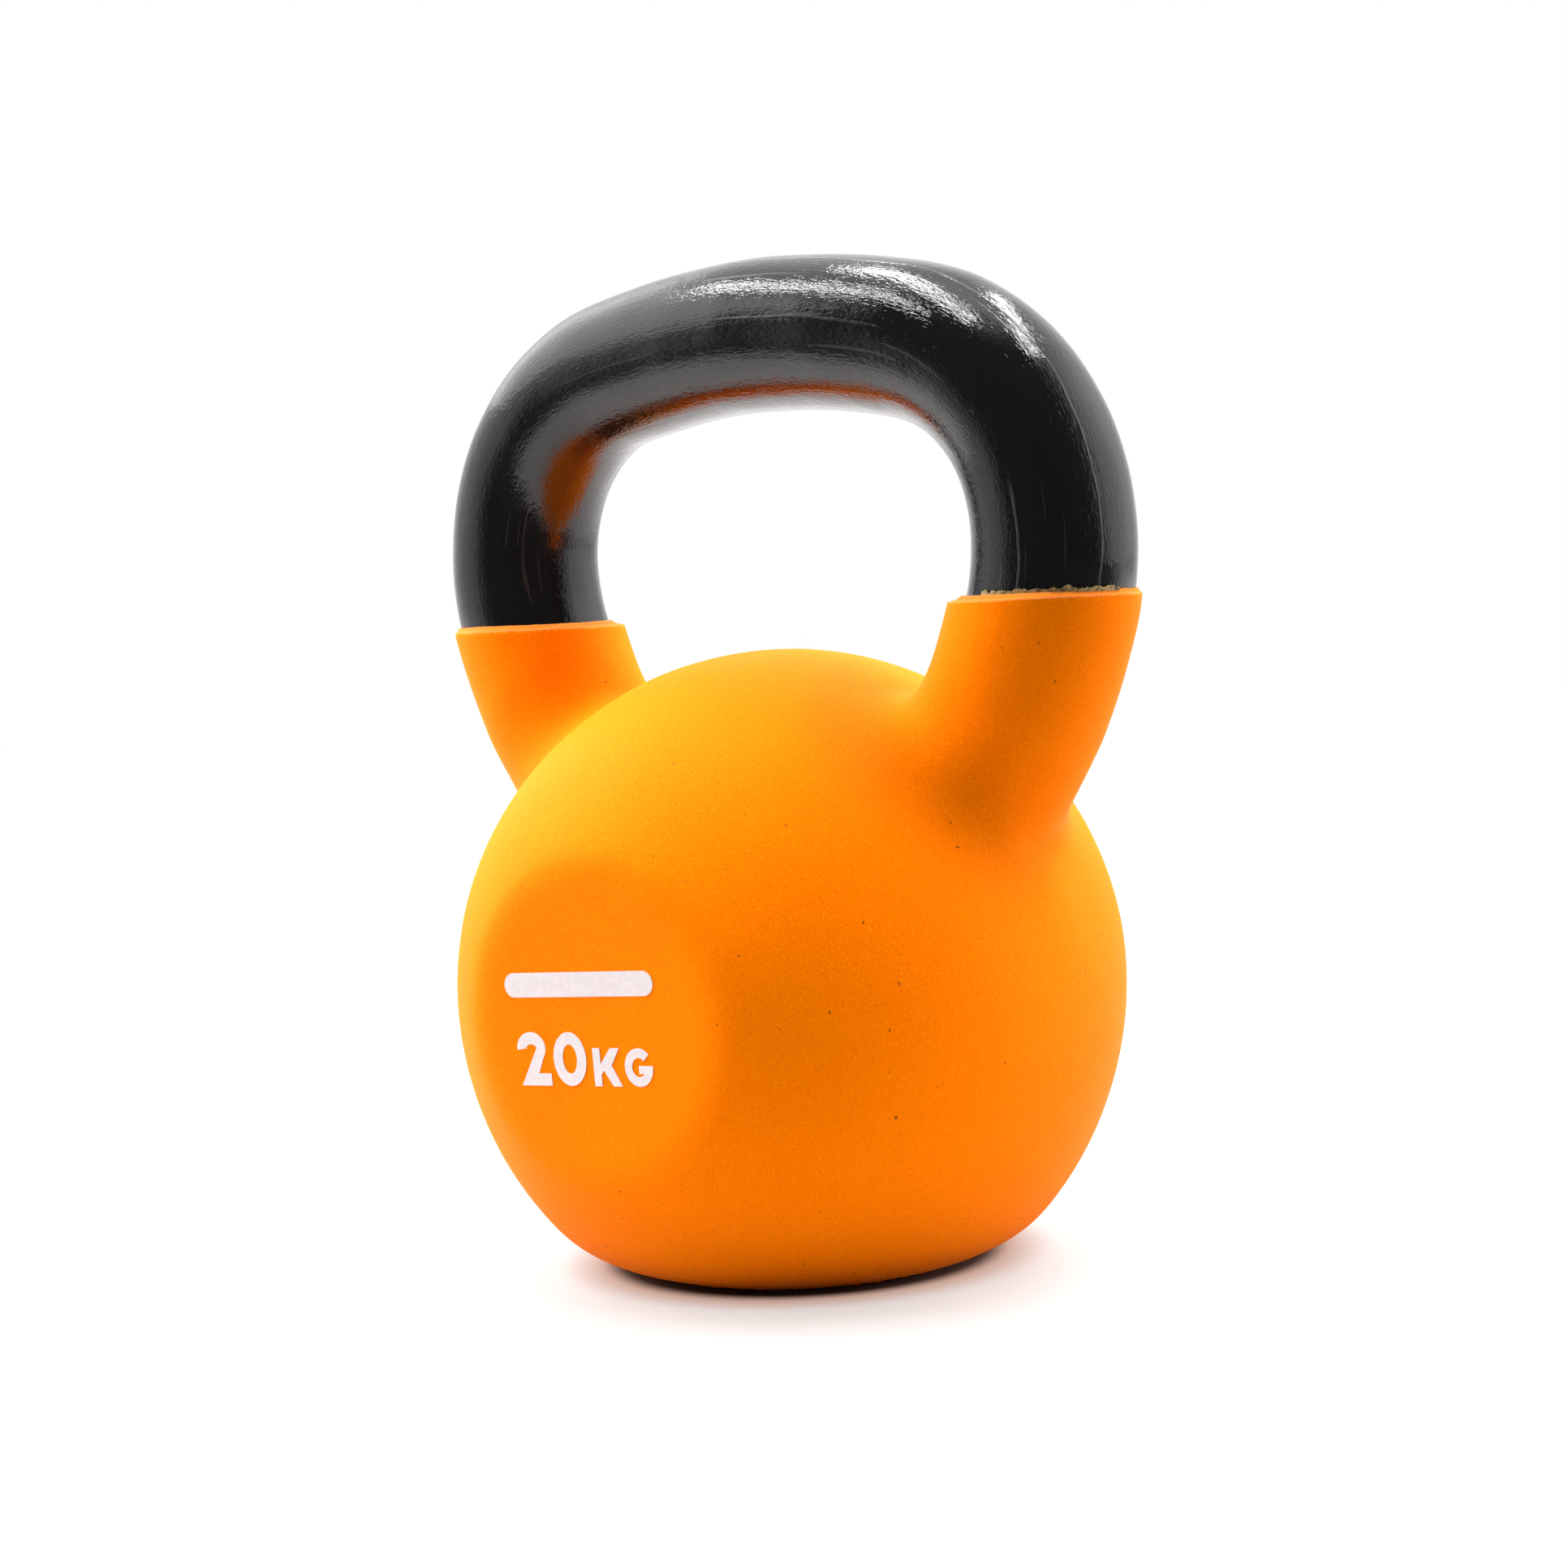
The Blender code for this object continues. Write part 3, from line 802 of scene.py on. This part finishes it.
def rubber_finish():
    finish = new_finish("dipped_orange_rubber")
    broad = finish.noise(finish.place, 14.0, 2.0)
    grain = finish.noise(finish.place, 1700.0, 2.0, 0.6)
    fine = finish.noise(finish.place, 3200.0, 1.0)
    speck_size = finish.noise(finish.place, 760.0, 0.0)
    colour = finish.blend(finish.step(broad, 0.35, 0.65), RUBBER_DEEP, RUBBER_PALE)
    colour = finish.blend(finish.step(grain, 0.54, 0.72) * 0.6, colour, RUBBER_LIT_GRAIN)
    colour = finish.blend(finish.step(grain, 0.46, 0.28) * 0.45, colour, RUBBER_DARK_GRAIN)
    colour = finish.blend(finish.step(speck_size, 0.872, 0.884) * 0.8, colour, RUBBER_SPECK)
    across, _, up = finish.axes(finish.place)
    edge_height = RIM_EDGES[-1.0] + (RIM_EDGES[1.0] - RIM_EDGES[-1.0]) * (across > 0.0)
    over_edge = up + (grain - 0.5) * 0.3 * MM - edge_height
    film = finish.step(over_edge, 0.0, 1.2 * MM)
    colour = finish.blend(film * 0.75, colour, RUBBER_FILM)
    lip = finish.step(over_edge, -0.45 * MM, -0.05 * MM) * finish.step(over_edge, 0.5 * MM, 0.1 * MM)
    colour = finish.blend(lip * 0.2, colour, RUBBER_LIP)
    return coat(
        finish,
        grain * RUBBER_GRAIN_RELIEF + fine * RUBBER_FINE_RELIEF,
        Base_Color=colour,
        Roughness=0.66 + (grain - 0.5) * 0.2,
        Specular_IOR_Level=0.035,
        Specular_Tint=(1.0, 0.45, 0.0, 1.0),
        Sheen_Weight=0.04,
        Sheen_Roughness=0.4,
        Sheen_Tint=(1.0, 0.75, 0.30, 1.0),
    )


def lacquer_finish():
    finish = new_finish("brushed_black_lacquer")
    way = finish.node("ShaderNodeAttribute", {"attribute_name": "brush_way"}).outputs["Vector"]
    _, out, deep = finish.axes(way)
    streaks = finish.streaks(way, (520.0, 1700.0, 1700.0), 2.0, 0.6)
    broad_streaks = finish.streaks(way, (22.0, 420.0, 420.0), 3.0)
    pits = finish.streaks(way, (500.0, 1500.0, 1500.0), 1.0)
    scratches = finish.step(finish.streaks(way, (25.0, 900.0, 900.0), 0.0), 0.74, 0.80)
    peel = finish.noise(way, 190.0, 3.0)
    wobble = (finish.noise(way, 60.0, 2.0) - 0.5) * 0.10
    turn = deep.work("ARCTAN2", out) + wobble
    right_leg = finish.axes(finish.place)[0] > 0.0
    ridges_and_painted_reflections = 0.0
    for ridge_and_reflection_turn in RIDGE_AND_REFLECTION_TURNS:
        ridges_and_painted_reflections = finish.step((turn - ridge_and_reflection_turn).work("ABSOLUTE"), *RIDGE_AND_REFLECTION_EDGES) + ridges_and_painted_reflections
    broken = finish.step(broad_streaks, 0.40, 0.52)
    ridges_and_painted_reflections = ridges_and_painted_reflections * right_leg * broken
    colour = finish.blend(scratches * 0.5, LACQUER_BLACK, LACQUER_SCRATCH)
    # Painted reflection lines: the raised brush lines are also coloured grey.
    colour = finish.blend(ridges_and_painted_reflections * 0.35, colour, LACQUER_PAINTED_REFLECTION_LINE)
    relief = streaks * STREAK_RELIEF + broad_streaks * BROAD_STREAK_RELIEF + peel * PEEL_RELIEF
    relief = relief + finish.step(pits, 0.68, 0.78) * PIT_RELIEF + ridges_and_painted_reflections * RIDGE_RELIEF
    roughness = 0.03 + peel * 0.05 + scratches * 0.25
    return coat(finish, relief, Base_Color=colour, Roughness=roughness, IOR=1.46)


def ink_finish():
    finish = new_finish("white_ink")
    pinholes = finish.step(finish.noise(finish.place, 2400.0, 1.0), 0.66, 0.72)
    thin = finish.noise(finish.place, 700.0, 2.0)
    colour = finish.blend(finish.step(thin, 0.3, 0.7), INK_THIN, INK_THICK)
    colour = finish.blend(pinholes * 0.7, colour, INK_PINHOLE)
    return coat(finish, thin * INK_RELIEF, Base_Color=colour, Roughness=0.6)


def primer_finish():
    finish = new_finish("tan_primer")
    mottle = finish.noise(finish.place, 900.0, 2.0)
    colour = finish.blend(finish.step(mottle, 0.35, 0.65), PRIMER_DARK, PRIMER_TAN)
    return coat(finish, mottle * PRIMER_RELIEF, Base_Color=colour, Roughness=0.55)


def iron_finish():
    finish = new_finish("sand_cast_iron")
    sand = finish.noise(finish.place, 700.0, 3.0)
    colour = finish.blend(sand, IRON_DARK, IRON_PALE)
    roughness = 0.5 + sand * 0.2
    return coat(finish, sand * IRON_RELIEF, Base_Color=colour, Roughness=roughness, Metallic=0.9)


# ---------------------------------------------------------------- studio


def bearing(azimuth, elevation):
    """Unit vector: azimuth from the front face towards the right horn, both in degrees."""
    a, e = math.radians(azimuth), math.radians(elevation)
    return Vector((math.sin(a) * math.cos(e), -math.cos(a) * math.cos(e), math.sin(e)))


def make_camera():
    back = bearing(math.degrees(CAMERA_AZIMUTH), math.degrees(CAMERA_ELEVATION))
    level = Vector((math.cos(CAMERA_AZIMUTH), math.sin(CAMERA_AZIMUTH), 0.0))
    upright = back.cross(level)
    right = level * math.cos(CAMERA_ROLL) + upright * math.sin(CAMERA_ROLL)
    up = back.cross(right)
    place = Vector((0.0, 0.0, CAMERA_AIM_HEIGHT)) + level * CAMERA_ASIDE + back * CAMERA_DISTANCE
    camera = bpy.data.objects.new("camera", bpy.data.cameras.new("camera"))
    camera.matrix_world = Matrix((right, up, back)).transposed().to_4x4()
    camera.location = place
    camera.data.lens = CAMERA_LENS
    camera.data.sensor_width = SENSOR_WIDTH
    bpy.context.scene.collection.objects.link(camera)
    bpy.context.scene.camera = camera


def make_floor():
    """White floor. What the camera sees of it is self-lit by painted emission, with a painted contact
    shadow, dark and warm with painted bounce light, under the ball's edge; what lights and mirrors in the
    object is a pale patch beside and behind it, dark in front and far off."""
    bpy.ops.mesh.primitive_plane_add(size=1.0, location=FLOOR_MIDDLE)
    bpy.context.object.scale = (FLOOR_SIZE, FLOOR_SIZE, 1.0)
    floor = started("white_floor")
    finish = new_finish("white_floor")
    tooth = finish.noise(finish.place, 400.0, 2.0)
    ahead = finish.vector_maths("DOT_PRODUCT", finish.place, bearing(FLOOR_FRONT, 0.0))
    away = finish.vector_maths("LENGTH", finish.place)
    front_half = finish.step(ahead / away, -0.10, 0.20) * finish.step(away, 0.40, 0.52)
    end = finish.step(ahead, 0.26, 0.34).work("MAXIMUM", front_half)
    seen = Number(finish, finish.node("ShaderNodeLightPath").outputs["Is Camera Ray"])
    colour = finish.blend(end, FLOOR_PALE, FLOOR_DARK)
    colour = finish.blend(seen, colour, FLOOR_SHOWN)
    # Painted contact shadow and painted self-lit white: emission that only the camera sees, ringed by
    # distance from the middle.
    painted_shadow_and_glow = BLACK
    for start, full, tint in FLOOR_PAINTED_SHADOW_AND_GLOW:
        painted_shadow_and_glow = finish.blend(finish.step(away, start, full), painted_shadow_and_glow, tint)
    painted_shadow_and_glow = finish.blend(seen, BLACK, painted_shadow_and_glow)
    material = coat(
        finish,
        tooth * FLOOR_RELIEF,
        Base_Color=colour,
        Roughness=0.6,
        Emission_Color=painted_shadow_and_glow,
        Emission_Strength=1.0,
    )
    floor.data.materials.append(material)


def make_lamp(name, place, facing, sizes, power):
    """A rectangular lamp that shines against its facing direction, with its long side level."""
    light = bpy.data.lights.new(name, "AREA")
    light.shape = "RECTANGLE"
    light.size, light.size_y = sizes
    light.energy = power
    lamp = bpy.data.objects.new(name, light)
    lamp.location = place
    lamp.rotation_mode = "QUATERNION"
    lamp.rotation_quaternion = facing.to_track_quat("Z", "Y")
    bpy.context.scene.collection.objects.link(lamp)
    return lamp


def make_ceiling_strips():
    """Three strip lamps side by side over the bar, all running the same way."""
    along = bearing(STRIP_AZIMUTH, 0.0)
    across = Vector((-along.y, along.x, 0.0))
    middle = Vector((0.0, 0.0, HANDLE_TOP + STRIP_RISE)) - along * STRIP_SETBACK
    for name, offset in zip(("left_strip", "middle_strip", "right_strip"), STRIP_OFFSETS):
        place = middle + across * offset
        sizes = (STRIP_LENGTH, STRIP_WIDTH)
        lamp = make_lamp(name, place, Vector((0.0, 0.0, 1.0)), sizes, STRIP_POWER)
        lamp.rotation_quaternion = Quaternion((0.0, 0.0, 1.0), math.atan2(along.y, along.x))


def make_left_softbox():
    """One lamp that the lacquer mirrors, and a fill beside it that only lights."""
    way = bearing(*LEFT_LIGHT)
    make_lamp("left_softbox", BALL_CENTRE + way * SOFTBOX_DISTANCE, way, LEFT_SIZES, SOFTBOX_POWER)
    place = BALL_CENTRE + way * LEFT_FILL_DISTANCE
    fill = make_lamp("left_fill", place, way, LEFT_SIZES, LEFT_FILL_POWER)
    fill.visible_glossy = False


def make_fills():
    """Soft light from above and from the right, which the lacquer doesn't mirror."""
    for name, (azimuth, elevation, power) in FILLS.items():
        way = bearing(azimuth, elevation)
        fill = make_lamp(name, BALL_CENTRE + way * FILL_DISTANCE, way, FILL_SIZES, power)
        fill.visible_glossy = False


def make_world():
    """A white room. Its front is dark, and the lacquer mirrors a room of other levels than lights it."""
    world = bpy.data.worlds.new("studio")
    bpy.context.scene.world = world
    world.use_nodes = True
    finish = Finish(world.node_tree)
    way = finish.node("ShaderNodeTexCoord").outputs["Generated"]

    def towards(azimuth, elevation):
        return finish.vector_maths("DOT_PRODUCT", way, bearing(azimuth, elevation))

    height = finish.axes(way)[2]
    level = (1.0 - height * height) ** 0.5
    to_front = towards(ROOM_FRONT, 0.0) / level
    upper = finish.step(height, 0.2, 0.5)
    overhead = finish.step(height, 0.90, 0.98)
    right_wall = finish.step(towards(135.0, 15.0), 0.75, 0.95)
    left_wall = finish.step(towards(-100.0, 15.0), 0.5, 0.95)
    bright = finish.step(to_front, 0.42, 0.12)
    beside = finish.step(to_front, 0.30, 0.02)
    mirrored = 0.12 + bright * (0.95 + upper * 0.35) + right_wall * 0.7 + overhead
    lighting = 0.02 + left_wall * 0.9 + beside * (1.3 + upper * 1.5)
    lighting = lighting + right_wall * 1.2 + overhead * 1.2
    rays = finish.node("ShaderNodeLightPath").outputs
    glossy = Number(finish, rays["Is Glossy Ray"])
    seen = Number(finish, rays["Is Camera Ray"])
    strength = lighting + (mirrored - lighting) * glossy
    back = finish.tree.nodes["Background"]
    finish.feed(back.inputs["Strength"], strength + (1.0 - strength) * seen)
    back.inputs["Color"].default_value = (1.0, 1.0, 1.0, 1.0)


def make_studio():
    make_camera()
    make_floor()
    make_world()
    make_ceiling_strips()
    make_left_softbox()
    make_fills()
    bpy.context.scene.view_settings.view_transform = "Standard"


def dress(piece, material, slot, *nodes):
    piece.data.materials.clear()
    piece.data.materials.append(material)
    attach(piece, BODY)
    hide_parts(*nodes)


make_studio()
dress(make_jacket(), rubber_finish(), "orange_rubber", "rubber_jacket")
dress(make_handle_skin(), lacquer_finish(), "black_lacquer", "handle_lacquer")
dress(make_primer_line(), primer_finish(), "primer_tan", "primer_line_right")
ink = ink_finish()
for print_node in sorted(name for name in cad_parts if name.startswith("print_")):
    dress(make_print(print_node), ink, "white_ink", print_node)
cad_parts["iron_casting"].data.materials.clear()
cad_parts["iron_casting"].data.materials.append(iron_finish())
